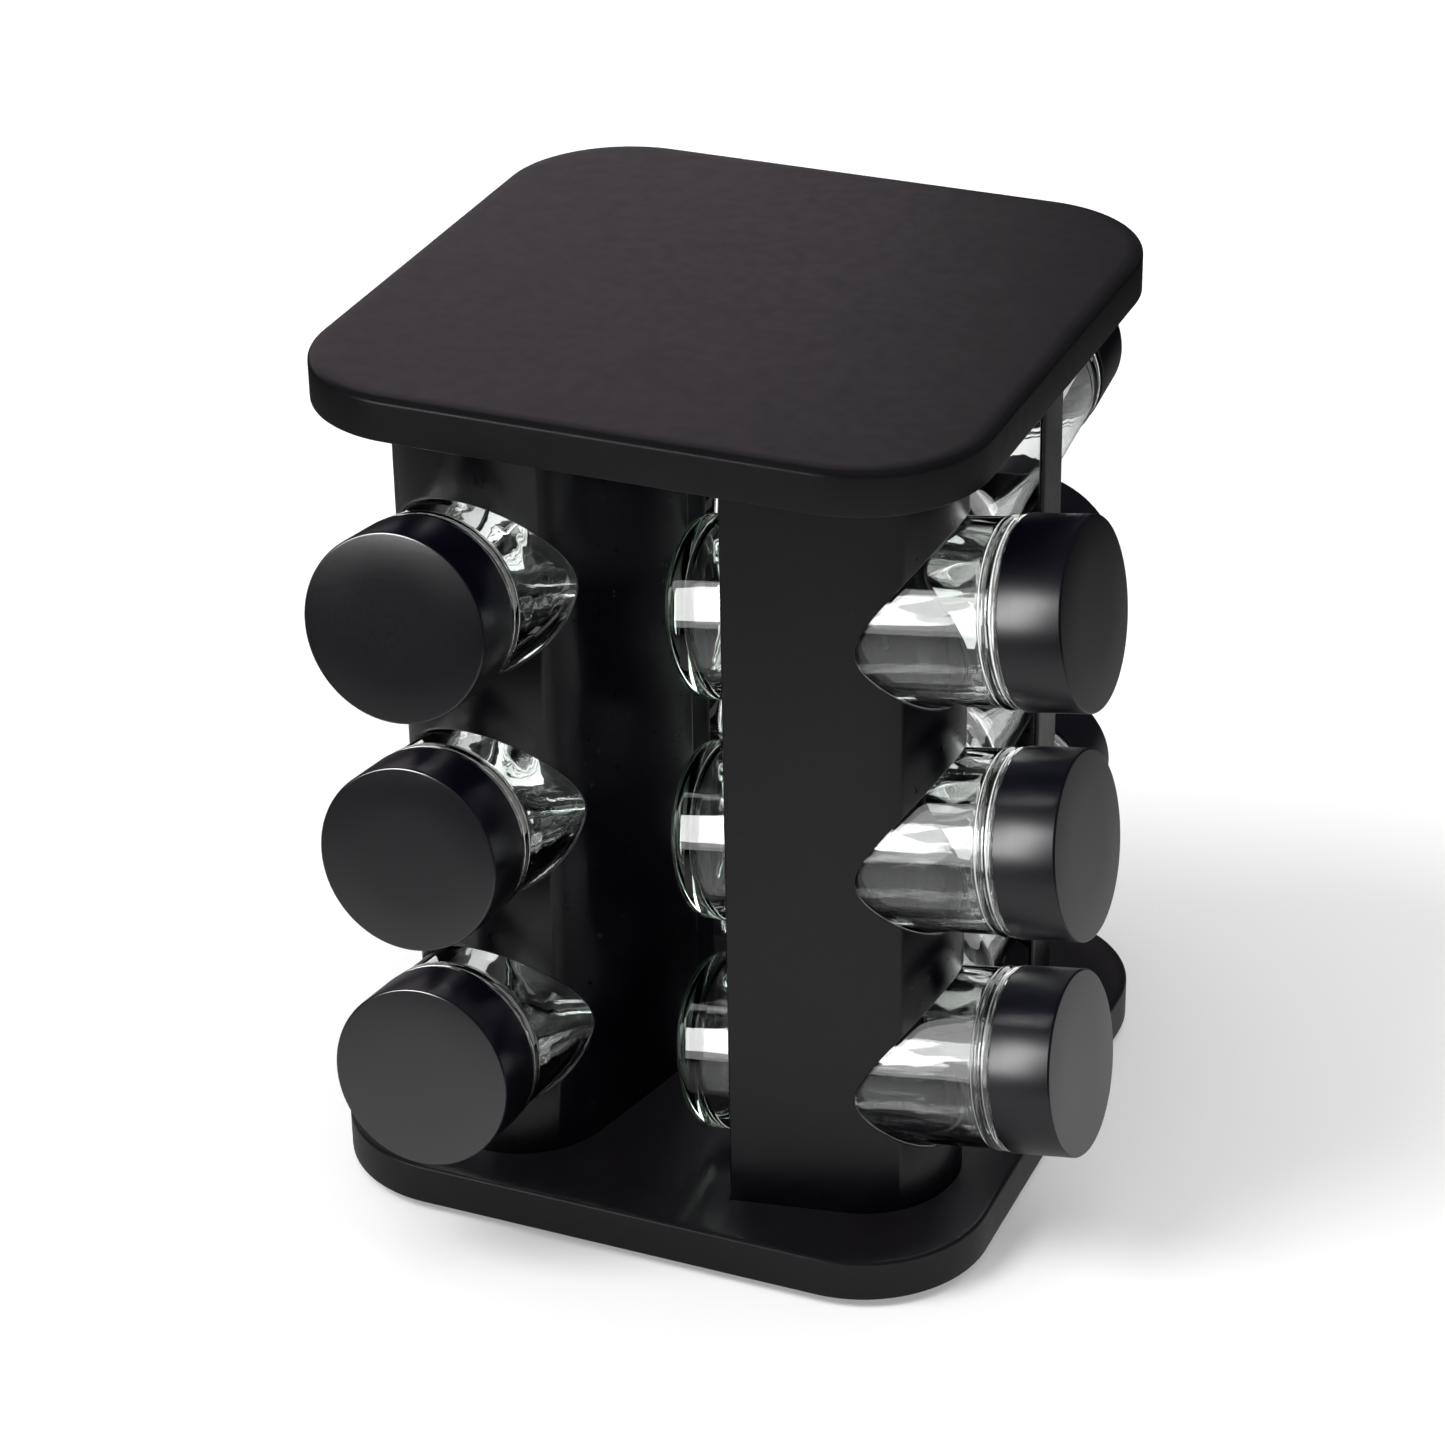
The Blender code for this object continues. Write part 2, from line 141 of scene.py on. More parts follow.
def add_piece(name, mesh, finish, body, replaced, matrix=Matrix.Identity(4)):
    """A piece that rides on its CAD body and stands in for a CAD node."""
    obj = bpy.data.objects.new(name, mesh)
    bpy.context.scene.collection.objects.link(obj)
    if not mesh.materials:
        mesh.materials.append(finish)
    obj.matrix_world = matrix
    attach(obj, body)
    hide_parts(replaced)


def skin(bm, loops, ring_shaped=False):
    """Faces between neighbouring vertex loops. Open stacks get flat ends."""
    pairs = list(zip(loops, loops[1:]))
    if ring_shaped:
        pairs.append((loops[-1], loops[0]))
    else:
        bm.faces.new(loops[0])
        bm.faces.new(loops[-1])
    for lower, upper in pairs:
        count = len(lower)
        for i in range(count):
            j = (i + 1) % count
            bm.faces.new((lower[i], lower[j], upper[j], upper[i]))


def loft(name, rings, ring_shaped=False):
    """A solid skinned over rings of points."""
    bm = bmesh.new()
    skin(bm, [[bm.verts.new(point) for point in ring] for ring in rings], ring_shaped)
    return finish_mesh(name, bm)


def circle(radius, z, segments, centre=(0.0, 0.0)):
    step = 2.0 * math.pi / segments
    return [(centre[0] + radius * math.cos(i * step), centre[1] + radius * math.sin(i * step), z)
            for i in range(segments)]


def arc(centre_r, centre_z, radius, start, stop, steps):
    """Profile points (r, z) on an arc, angles in degrees from the +r direction towards +z."""
    points = []
    for i in range(steps + 1):
        angle = math.radians(start + (stop - start) * i / steps)
        points.append((centre_r + radius * math.cos(angle), centre_z + radius * math.sin(angle)))
    return points


def turned(name, profile, segments, centre=(0.0, 0.0), ring_shaped=False):
    """A solid turned about an upright axis from profile points (r, z)."""
    return loft(name, [circle(r, z, segments, centre) for r, z in profile], ring_shaped)


def cut(mesh, tool_mesh, matrix=Matrix.Identity(4)):
    """The mesh with a tool solid cut away."""
    target = bpy.data.objects.new("cut_target", mesh)
    tool = bpy.data.objects.new("cut_tool", tool_mesh)
    for obj in (target, tool):
        bpy.context.scene.collection.objects.link(obj)
    tool.matrix_world = matrix
    boolean = target.modifiers.new("cut", "BOOLEAN")
    boolean.operation = "DIFFERENCE"
    boolean.object = tool
    bpy.context.view_layer.update()
    evaluated = target.evaluated_get(bpy.context.evaluated_depsgraph_get())
    result = bpy.data.meshes.new_from_object(evaluated)
    for obj in (target, tool):
        bpy.data.objects.remove(obj, do_unlink=True)
    return smooth(result)


def turn(side):
    """From column 1's place to another side's."""
    return Matrix.Rotation(side * 2.0 * math.pi / SIDES, 4, "Z")


def rounded_square(side, corner, z):
    """Outline of a square with rounded corners."""
    steps = 24
    points = []
    reach = side / 2 - corner
    for quarter in range(4):
        start = quarter * math.pi / 2
        middle = start + math.pi / 4
        cx = math.copysign(reach, math.cos(middle))
        cy = math.copysign(reach, math.sin(middle))
        for i in range(steps + 1):
            angle = start + i / steps * math.pi / 2
            points.append((cx + corner * math.cos(angle), cy + corner * math.sin(angle), z))
    return points


# ---- materials -------------------------------------------------------------------------------
class Nodes:
    """Short names for building a material's node tree."""

    def __init__(self, name):
        self.material = bpy.data.materials.new(name)
        self.material.use_nodes = True
        self.tree = self.material.node_tree
        self.shader = self.tree.nodes["Principled BSDF"]
        self.output = self.tree.nodes["Material Output"]
        self.coords = self.tree.nodes.new("ShaderNodeTexCoord").outputs["Object"]

    def set(self, **values):
        for key, value in values.items():
            self.shader.inputs[key.replace("_", " ")].default_value = value

    def link(self, source, target):
        self.tree.links.new(source, target)

    def noise(self, scale, detail=3.0, vector=None):
        node = self.tree.nodes.new("ShaderNodeTexNoise")
        node.inputs["Scale"].default_value = scale
        node.inputs["Detail"].default_value = detail
        node.inputs["Roughness"].default_value = 0.55
        self.link(vector or self.coords, node.inputs["Vector"])
        return node.outputs["Fac"]

    def stretch(self, scale):
        node = self.tree.nodes.new("ShaderNodeMapping")
        node.inputs["Scale"].default_value = scale
        self.link(self.coords, node.inputs["Vector"])
        return node.outputs["Vector"]

    def remap(self, value, low, high, from_low=0.3, from_high=0.7):
        node = self.tree.nodes.new("ShaderNodeMapRange")
        node.inputs["From Min"].default_value = from_low
        node.inputs["From Max"].default_value = from_high
        node.inputs["To Min"].default_value = low
        node.inputs["To Max"].default_value = high
        self.link(value, node.inputs["Value"])
        return node.outputs["Result"]

    def maths(self, operation, first, second):
        """A math node whose second term is a socket or a plain number."""
        node = self.tree.nodes.new("ShaderNodeMath")
        node.operation = operation
        self.link(first, node.inputs[0])
        if isinstance(second, float):
            node.inputs[1].default_value = second
        else:
            self.link(second, node.inputs[1])
        return node.outputs["Value"]

    def distance_from(self, point):
        node = self.tree.nodes.new("ShaderNodeVectorMath")
        node.operation = "DISTANCE"
        self.link(self.coords, node.inputs[0])
        node.inputs[1].default_value = point
        return node.outputs["Value"]

    def blend_colour(self, value, first, second):
        node = self.tree.nodes.new("ShaderNodeMix")
        node.data_type = "RGBA"
        node.inputs["A"].default_value = (*first, 1.0)
        node.inputs["B"].default_value = (*second, 1.0)
        self.link(value, node.inputs["Factor"])
        self.link(node.outputs["Result"], self.shader.inputs["Base Color"])

    def vary_roughness(self, value, low, high):
        self.link(self.remap(value, low, high), self.shader.inputs["Roughness"])

    def bump(self, height, distance, strength=1.0, under=None):
        node = self.tree.nodes.new("ShaderNodeBump")
        node.inputs["Strength"].default_value = strength
        node.inputs["Distance"].default_value = distance
        self.link(height, node.inputs["Height"])
        if under is not None:
            self.link(under, node.inputs["Normal"])
        self.link(node.outputs["Normal"], self.shader.inputs["Normal"])
        return node.outputs["Normal"]


def moulded(name, dark, light, rough, grain, depth, ior=1.5):
    """Satin moulded plastic: fine grain, faint mottling in tone and gloss."""
    n = Nodes(name)
    n.set(IOR=ior)
    n.blend_colour(n.remap(n.noise(55.0, detail=4.0), 0.0, 1.0), dark, light)
    n.vary_roughness(n.noise(240.0), rough - 0.03, rough + 0.03)
    n.bump(n.noise(grain, detail=2.0), depth)
    return n.material


def anodised(name, dark, light, rough, ior, brushed):
    """Black anodised metal: fine turning marks round a skirt, or a fine blast on a face."""
    n = Nodes(name)
    n.set(IOR=ior)
    n.blend_colour(n.remap(n.noise(90.0, detail=4.0), 0.0, 1.0), dark, light)
    if brushed:
        grain = n.noise(1.0, vector=n.stretch((12.0, 12.0, 6500.0)))
        n.vary_roughness(grain, rough - 0.03, rough + 0.03)
        n.bump(grain, 0.0012 * MM)
    else:
        n.vary_roughness(n.noise(1400.0), rough - 0.015, rough + 0.015)
        n.bump(n.noise(6000.0, detail=2.0), 0.004 * MM)
    return n.material


def clear_glass(name):
    """Pressed flint glass: slight waviness in the wall and a green tint in its depth."""
    n = Nodes(name)
    n.set(Transmission_Weight=1.0, IOR=1.52, Roughness=0.0)
    n.shader.inputs["Base Color"].default_value = (1.0, 1.0, 1.0, 1.0)
    wave = n.bump(n.noise(48.0, detail=1.5), 0.5 * MM, 0.5)
    n.bump(n.noise(150.0, detail=2.0), 0.02 * MM, 0.5, under=wave)
    absorb = n.tree.nodes.new("ShaderNodeVolumeAbsorption")
    absorb.inputs["Color"].default_value = (0.80, 0.93, 0.84, 1.0)
    absorb.inputs["Density"].default_value = 38.0
    n.link(absorb.outputs["Volume"], n.output.inputs["Volume"])
    return n.material


def bare_steel(name):
    """Zinc-plated steel for the small hardware."""
    n = Nodes(name)
    n.set(Metallic=1.0)
    n.blend_colour(n.remap(n.noise(160.0), 0.0, 1.0), (0.50, 0.50, 0.52), (0.66, 0.66, 0.68))
    n.vary_roughness(n.noise(900.0), 0.18, 0.34)
    n.bump(n.noise(1500.0), 0.01 * MM)
    return n.material


def soft_rubber(name):
    """Matt black rubber."""
    n = Nodes(name)
    n.blend_colour(n.remap(n.noise(300.0), 0.0, 1.0), (0.012, 0.012, 0.012), (0.03, 0.03, 0.03))
    n.vary_roughness(n.noise(800.0), 0.75, 0.95)
    n.bump(n.noise(2500.0), 0.05 * MM)
    return n.material


plate_finish = moulded(
    "plate_charcoal", dark=(0.0044, 0.0038, 0.0052), light=(0.0064, 0.0056, 0.0072),
    rough=0.35, grain=3000.0, depth=0.02 * MM, ior=1.44)
column_finish = moulded(
    "column_satin_black", dark=(0.0014, 0.0012, 0.0032), light=(0.0024, 0.0022, 0.0048),
    rough=0.30, grain=2600.0, depth=0.006 * MM, ior=1.46)
lid_side_finish = anodised(
    "lid_skirt", dark=(0.0016, 0.0014, 0.0046), light=(0.0026, 0.0024, 0.0064),
    rough=0.31, ior=1.55, brushed=True)
lid_face_finish = anodised(
    "lid_face", dark=(0.0026, 0.0024, 0.0048), light=(0.0036, 0.0034, 0.0060),
    rough=0.17, ior=2.0, brushed=False)
glass = clear_glass("flint_glass")
insert_finish = moulded(
    "sifter_black", dark=(0.006, 0.006, 0.006), light=(0.010, 0.010, 0.010),
    rough=0.42, grain=2000.0, depth=0.02 * MM)
foot_finish = moulded(
    "foot_black", dark=(0.008, 0.008, 0.008), light=(0.012, 0.012, 0.012),
    rough=0.55, grain=1500.0, depth=0.05 * MM)
steel = bare_steel("zinc_steel")
rubber = soft_rubber("pad_rubber")


# ---- column outline --------------------------------------------------------------------------
def tangent_angle(end, sign):
    """Angle on the nose arc where the straight leg to the given end leaves it."""
    away = end - NOSE
    return math.atan2(away.y, away.x) + sign * math.acos((NOSE_RADIUS - SHEET / 2) / away.length)


OUTER_TANGENT = tangent_angle(OUTER_LEG_END, +1.0)
INNER_TANGENT = tangent_angle(INNER_LEG_END, -1.0)


def leg_points(outer, radius):
    """Root and free end of a leg's surface that continues the nose arc of the given radius."""
    angle = OUTER_TANGENT if outer else INNER_TANGENT
    end = OUTER_LEG_END if outer else INNER_LEG_END
    across = Vector((math.cos(angle), math.sin(angle)))
    along = (end - NOSE - across * (NOSE_RADIUS - SHEET / 2)).normalized()
    root = NOSE + across * radius
    tip = end + across * (radius - (NOSE_RADIUS - SHEET / 2)) - along * SHEET / 2
    return root, tip, along


def surface_x(y, radius):
    """X of the nose side of a column surface at a Y measured from the nose's middle."""
    outer = y < 0.0
    angle = OUTER_TANGENT if outer else INNER_TANGENT
    if abs(y) <= abs(radius * math.sin(angle)):
        return NOSE.x + math.sqrt(radius * radius - y * y)
    root, tip, _ = leg_points(outer, radius)
    return root.x + (tip.x - root.x) * (NOSE.y + y - root.y) / (tip.y - root.y)


def leg_columns(outer, radius, hole_radius):
    """Points from a leg's free end to the side of the jar hole, closer together near the hole."""
    steps, nose_steps = 14, 8
    tip = leg_points(outer, radius)[1]
    sign = -1.0 if outer else 1.0
    route = [tip]
    angle = OUTER_TANGENT if outer else INNER_TANGENT
    if hole_radius < abs(radius * math.sin(angle)):
        target = sign * math.asin(hole_radius / radius)
        for i in range(nose_steps + 1):
            a = angle + (target - angle) * i / nose_steps
            route.append(NOSE + Vector((math.cos(a), math.sin(a))) * radius)
    else:
        edge_y = sign * hole_radius
        route.append(Vector((surface_x(edge_y, radius), NOSE.y + edge_y)))
    lengths = [0.0]
    for before, after in zip(route, route[1:]):
        lengths.append(lengths[-1] + (after - before).length)
    points = []
    for i in range(steps + 1):
        wanted = lengths[-1] * (1.0 - (1.0 - i / steps) ** 2)
        k = max(j for j in range(len(lengths) - 1) if lengths[j] <= wanted + 1e-12)
        share = (wanted - lengths[k]) / max(lengths[k + 1] - lengths[k], 1e-12)
        points.append(route[k].lerp(route[k + 1], min(share, 1.0)))
    return points


# ---- jar places ------------------------------------------------------------------------------
joints = {joint["name"]: joint for joint in frame["joints"]}


def jar_place(side, tier):
    """(centre of the lid face, unit axis out of the rack) of a jar, from its lid's joint."""
    joint = joints[f"lid_{side + 1}_{TIERS[tier]}_turn"]
    return Vector(joint["pos_m"]), Vector(joint["axis"]).normalized()


def jar_matrix(side, tier):
    """From upright on the origin to a jar's place in the rack."""
    face, axis = jar_place(side, tier)
    tilt = math.asin(axis.z)
    leaning = Matrix.Rotation(math.pi / 2 - tilt, 4, "Y")
    return Matrix.Translation(face - axis * JAR_LENGTH) @ turn(side) @ leaning


AXIS_1 = jar_place(0, 0)[1]
TAN_TILT = AXIS_1.z / AXIS_1.x
COS_TILT = AXIS_1.x


def axis_height(tier, x):
    """Height of a column 1 jar's axis at an X."""
    face = jar_place(0, tier)[0]
    return face.z + (x - face.x) * TAN_TILT


# ---- columns ---------------------------------------------------------------------------------
def column_sheet(bm, radius, hole_radius, low, high):
    """One face of a column's wall as a grid that leaves the jar holes open.

    Returns the vertex columns from the outer leg's free edge to the inner leg's. Each is a list
    from bottom to top: floor end, then the lower and upper edge of each hole, then the top end.
    """
    hole_steps = 56
    outer_leg = leg_columns(True, radius, hole_radius)
    inner_leg = leg_columns(False, radius, hole_radius)
    # each column's place, the hole's half height there, and the X that sets the hole's middle
    plan = [(point, 0.0, outer_leg[-1].x) for point in outer_leg]
    for i in range(1, hole_steps):
        angle = math.pi * (1.0 - i / hole_steps)
        y = hole_radius * math.cos(angle)
        point = Vector((surface_x(y, radius), NOSE.y + y))
        plan.append((point, hole_radius * math.sin(angle), point.x))
    plan += [(point, 0.0, inner_leg[-1].x) for point in reversed(inner_leg)]
    columns = []
    for point, half, middle_x in plan:
        column = [bm.verts.new((point.x, point.y, low))]
        for tier in range(len(TIERS)):
            z = axis_height(tier, middle_x)
            lower = bm.verts.new((point.x, point.y, z - half / COS_TILT))
            upper = bm.verts.new((point.x, point.y, z + half / COS_TILT)) if half else lower
            column += [lower, upper]
        column.append(bm.verts.new((point.x, point.y, high)))
        columns.append(column)
    for left, right in zip(columns, columns[1:]):
        for band in range(0, 2 * len(TIERS) + 1, 2):
            bm.faces.new((left[band], right[band], right[band + 1], left[band + 1]))
    return columns


def hole_loop(columns, tier):
    """Vertices round a hole's edge: along its lower side, and back along its upper side."""
    lower = 1 + 2 * tier
    inside = [c for c in columns if c[lower] is not c[lower + 1]]
    first = columns[columns.index(inside[0]) - 1][lower]
    last = columns[columns.index(inside[-1]) + 1][lower]
    return [first] + [c[lower] for c in inside] + [last] + [c[lower + 1] for c in reversed(inside)]


def bridge(bm, first, second, closed=True):
    """A band of faces between two rows of vertices."""
    count = len(first)
    for i in range(count if closed else count - 1):
        j = (i + 1) % count
        bm.faces.new((first[i], first[j], second[j], second[i]))


def free_edge(bm, outer_column, inner_column, direction):
    """Half-round edge that joins both faces of the wall at a leg's free end."""
    steps = 5
    loops = [outer_column]
    for i in range(1, steps):
        angle = math.pi * i / steps
        loop = []
        for a, b in zip(outer_column, inner_column):
            middle = (a.co + b.co) / 2
            half = (a.co - b.co) / 2
            place = middle + half * math.cos(angle) + direction * (SHEET / 2 * math.sin(angle))
            loop.append(bm.verts.new(place))
        loops.append(loop)
    loops.append(inner_column)
    for first, second in zip(loops, loops[1:]):
        bridge(bm, first, second, closed=False)
    return loops


def single(column):
    """A free-end column without its doubled vertices."""
    return [column[0]] + column[1:-1:2] + [column[-1]]


def column_mesh(low, high):
    """A column's bent wall, with its rounded jar holes and free edges."""
    rim_steps = 5
    bm = bmesh.new()
    outer = column_sheet(bm, NOSE_RADIUS, HOLE_RADIUS + HOLE_EDGE, low, high)
    inner = column_sheet(bm, NOSE_RADIUS - SHEET, HOLE_RADIUS, low, high)
    for tier in range(len(TIERS)):
        edge_out, edge_in = hole_loop(outer, tier), hole_loop(inner, tier)
        loops = [edge_out]
        for i in range(1, rim_steps + 1):
            loops.append(rim_loop(bm, tier, edge_out, i / rim_steps * math.pi / 2))
        loops.append(edge_in)
        for first, second in zip(loops, loops[1:]):
            bridge(bm, first, second)
    caps_low, caps_high = [c[0] for c in outer], [c[-1] for c in outer]
    inner_low, inner_high = [c[0] for c in inner], [c[-1] for c in inner]
    bridge(bm, caps_low, inner_low, closed=False)
    bridge(bm, caps_high, inner_high, closed=False)
    for index, is_outer in ((0, True), (-1, False)):
        along = leg_points(is_outer, NOSE_RADIUS)[2].to_3d()
        loops = free_edge(bm, single(outer[index]), single(inner[index]), along)
        for end in (0, -1):
            bm.faces.new([loop[end] for loop in loops])
    return bm


def rim_loop(bm, tier, edge_out, angle):
    """Part of the rounded rim: the outer edge drawn in towards the jar's axis and into the wall."""
    inwards = math.sin(angle) * HOLE_EDGE / (HOLE_RADIUS + HOLE_EDGE)
    depth = HOLE_EDGE * (1.0 - math.cos(angle))
    loop = []
    for vert in edge_out:
        z_axis = axis_height(tier, vert.co.x)
        offset = Vector((0.0, vert.co.y - NOSE.y, vert.co.z - z_axis))
        drawn = offset * (1.0 - inwards)
        x = vert.co.x - depth
        loop.append(bm.verts.new((x, NOSE.y + drawn.y, axis_height(tier, x) + drawn.z)))
    return loop


def rib_bars(bm):
    """Cradle ribs between the legs, each hollowed on top to the round of its jar."""
    def leg_y(x, outer):
        root, tip = leg_points(outer, NOSE_RADIUS - SHEET / 2)[:2]
        return root.y + (tip.y - root.y) * (x - root.x) / (tip.x - root.x)

    steps = 24
    half = math.acos(RIB_SHOULDER / HOLE_RADIUS)
    for tier in range(len(TIERS)):
        sections = []
        for x in (RIB_X, RIB_X + RIB_THICK):
            z_axis = axis_height(tier, x)
            z_low, z_high = z_axis - RIB_DEPTH, z_axis - RIB_SHOULDER
            outer_y, inner_y = leg_y(x, True), leg_y(x, False)
            ring = [(x, outer_y, z_low), (x, outer_y, z_high)]
            for i in range(steps + 1):
                angle = -half + 2.0 * half * i / steps
                ring.append((x, NOSE.y + HOLE_RADIUS * math.sin(angle),
                             z_axis - HOLE_RADIUS * math.cos(angle)))
            ring += [(x, inner_y, z_high), (x, inner_y, z_low)]
            sections.append([bm.verts.new(p) for p in ring])
        skin(bm, sections)


def screw_place():
    """Axis of column 1's fixing screw, from its CAD box."""
    low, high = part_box("column_screw_1")
    return (low + high) / 2


def build_columns():
    low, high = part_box("column_1")
    bm = column_mesh(low.z, high.z)
    rib_bars(bm)
    boss_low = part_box("base_plate")[1].z + GAP
    boss = [(BOSS_RADIUS, boss_low), (BOSS_RADIUS, BOSS_TOP),
            (SCREW_HOLE_RADIUS, BOSS_TOP), (SCREW_HOLE_RADIUS, boss_low)]
    segments = 32
    rings = [circle(r, z, segments, screw_place()) for r, z in boss]
    skin(bm, [[bm.verts.new(point) for point in ring] for ring in rings], ring_shaped=True)
    mesh = finish_mesh("column", bm)
    for side in range(SIDES):
        name = f"column_{side + 1}"
        add_piece(f"{name}_shell", mesh, column_finish, "carousel", name, turn(side))


# ---- plates ----------------------------------------------------------------------------------
def plate_rings(side, corner, low, high, top_round):
    """Outlines from a plate's lower edge, over its rounded upper edge, to its slight crown."""
    steps = 8
    rings = []
    for i in range(steps + 1):
        angle = i / steps * math.pi / 2
        inset = LOWER_ROUND * (1 - math.sin(angle))
        rise = LOWER_ROUND * (1 - math.cos(angle))
        rings.append(rounded_square(side - 2 * inset, corner - inset, low + rise))
    crown = CROWN * top_round / TOP_ROUND
    drop = crown * CROWN_TILT / 2
    for i in range(steps + 1):
        angle = i / steps * (math.pi / 2 - CROWN_TILT)
        inset = top_round * (1 - math.cos(angle))
        rise = top_round * (math.sin(angle) - math.cos(CROWN_TILT))
        rings.append(rounded_square(side - 2 * inset, corner - inset, high - drop + rise))
    edge = top_round * (1 - math.sin(CROWN_TILT))
    for i in range(1, steps + 1):
        share = i / steps
        inset = edge + crown * share
        rings.append(rounded_square(side - 2 * inset, corner - inset, high - drop * (1 - share) ** 2))
    return rings


def groove_mesh(low, high):
    """Solid in the shape of a column's seat, a little wider than its wall."""
    steps = 40
    outline = []
    for radius, backwards in ((NOSE_RADIUS + GAP, False), (NOSE_RADIUS - SHEET - GAP, True)):
        _, tip, along = leg_points(True, radius)
        line = [tip + along * (SHEET / 2 + GAP)]
        for i in range(steps + 1):
            angle = OUTER_TANGENT + (INNER_TANGENT - OUTER_TANGENT) * i / steps
            line.append(NOSE + Vector((math.cos(angle), math.sin(angle))) * radius)
        _, tip, along = leg_points(False, radius)
        line.append(tip + along * (SHEET / 2 + GAP))
        outline += line[::-1] if backwards else line
    return loft("groove", [[(p.x, p.y, z) for p in outline] for z in (low, high)])


def cut_grooves(mesh, low, high):
    for side in range(SIDES):
        mesh = cut(mesh, groove_mesh(low, high), turn(side))
    return mesh


def build_top_plate():
    low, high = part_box("top_plate")
    mesh = loft("top_plate_body", plate_rings(high.x - low.x, TOP_CORNER, low.z, high.z, TOP_ROUND))
    groove_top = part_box("column_1")[1].z + GAP
    mesh = cut_grooves(mesh, low.z - MM, groove_top)
    add_piece("top_plate_body", mesh, plate_finish, "carousel", "top_plate")


def build_base_plate():
    """The base, with a recess below for the swivel, its ball track and hub, and the screw holes."""
    low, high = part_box("base_plate")
    mesh = loft("base_plate_body", plate_rings(high.x - low.x, BASE_CORNER, low.z, high.z, BASE_ROUND))
    below, above = low.z - MM, high.z + MM
    recess_radius, hub_radius, head_radius = 63.0 * MM, 7.0 * MM, 3.6 * MM
    ceiling, track_z, hub_z, pivot_end, head_z = 11.0 * MM, 8.6 * MM, 7.2 * MM, 12.6 * MM, 10.5 * MM
    recess = [(recess_radius, below), (recess_radius, ceiling),
              (TRACK_OUTER, ceiling), (TRACK_OUTER, track_z),
              (TRACK_INNER, track_z), (TRACK_INNER, ceiling),
              (hub_radius, ceiling), (hub_radius, hub_z)]
    mesh = cut(mesh, turned("recess", recess, segments=128))
    pivot_hole = [(PIVOT_HOLE_RADIUS, below), (PIVOT_HOLE_RADIUS, pivot_end)]
    mesh = cut(mesh, turned("pivot_hole", pivot_hole, segments=32))
    mesh = cut_grooves(mesh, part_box("column_1")[0].z - GAP, above)
    screw_hole = [(head_radius, below), (head_radius, head_z),
                  (SCREW_HOLE_RADIUS, head_z), (SCREW_HOLE_RADIUS, above)]
    for side in range(SIDES):
        mesh = cut(mesh, turned("screw_hole", screw_hole, segments=32, centre=screw_place()), turn(side))
    add_piece("base_plate_body", mesh, plate_finish, "carousel", "base_plate")


# ---- jars, lids and inserts ------------------------------------------------------------------
def jar_profile():
    """Closed glass wall from the middle of the punt, up the outside, over the rim and down inside."""
    heel, ridge, lip, shoulder, inner_heel = 4.5 * MM, 1.25 * MM, 0.8 * MM, 3.2 * MM, 4.0 * MM
    body_middle, shoulder_z, neck_low, floor = 45.0 * MM, 86.8 * MM, 92.3 * MM, 5.2 * MM
    fillet = 0.6 * MM
    points = [(AXIS, PUNT_DEPTH), (8.0 * MM, PUNT_DEPTH * 0.82), (13.5 * MM, PUNT_DEPTH * 0.42),
              (16.5 * MM, PUNT_DEPTH * 0.1), (18.2 * MM, 0.0)]
    points += arc(GLASS_RADIUS - heel, heel, heel, -80, 0, 10)
    points += [(GLASS_RADIUS, body_middle), (GLASS_RADIUS, BEAD_LOW - fillet)]
    for middle in (BEAD_LOW + ridge, BEAD_HIGH - ridge):
        points += arc(BEAD_RADIUS - ridge, middle, ridge, -62, 62, 10)
    points += [(NECK_RADIUS + fillet, BEAD_HIGH), (NECK_RADIUS, BEAD_HIGH + fillet)]
    points += arc(NECK_RADIUS - lip, RIM_Z - lip, lip, 0, 90, 5)
    points += arc(MOUTH_RADIUS + lip, RIM_Z - lip, lip, 90, 180, 5)
    points.append((MOUTH_RADIUS, neck_low))
    points += arc(INNER_RADIUS - shoulder, shoulder_z, shoulder, 70, 0, 6)
    points += arc(INNER_RADIUS - inner_heel, floor + inner_heel, inner_heel, 0, -80, 8)
    points += [(12.0 * MM, floor + 0.1 * MM), (AXIS, floor + 0.5 * MM)]
    return points


def lid_profile():
    """Face, rounded rim, skirt and hollow of the lid."""
    rim, corner = 0.55 * MM, 0.4 * MM
    bottom = JAR_LENGTH - LID_HEIGHT
    ceiling = JAR_LENGTH - LID_TOP_WALL
    points = [(AXIS, JAR_LENGTH), (12.0 * MM, JAR_LENGTH)]
    points += arc(LID_RADIUS - rim, JAR_LENGTH - rim, rim, 90, 0, 6)
    points += arc(LID_RADIUS - EASE, bottom + EASE, EASE, 0, -90, 3)
    points += [(LID_BORE + EASE, bottom), (LID_BORE, bottom + EASE),
               (LID_BORE, ceiling - corner), (LID_BORE - corner, ceiling), (AXIS, ceiling)]
    return points


def sifter_mesh():
    """Insert with a plug inside the jar's mouth, a flange over its rim and a pierced floor."""
    plug, inner, flange = 17.7 * MM, 16.7 * MM, 20.4 * MM
    floor, floor_thick = 100.2 * MM, MM
    flange_low = RIM_Z + GAP
    flange_high = flange_low + 0.9 * MM
    profile = [(plug - EASE, floor), (plug, floor + EASE), (plug, flange_low), (flange, flange_low),
               (flange, flange_high - EASE), (flange - EASE, flange_high),
               (inner + EASE, flange_high), (inner, flange_high - EASE), (inner, floor + floor_thick)]
    mesh = turned("sifter", profile, segments=64)
    holes, hole_radius, hole_reach = 3, 1.8 * MM, 9.0 * MM
    drill = [(hole_radius, floor - MM), (hole_radius, floor + 2.0 * MM)]
    for i in range(holes):
        angle = i * 2.0 * math.pi / holes
        place = (hole_reach * math.cos(angle), hole_reach * math.sin(angle))
        mesh = cut(mesh, turned("hole", drill, segments=24, centre=place))
    return mesh


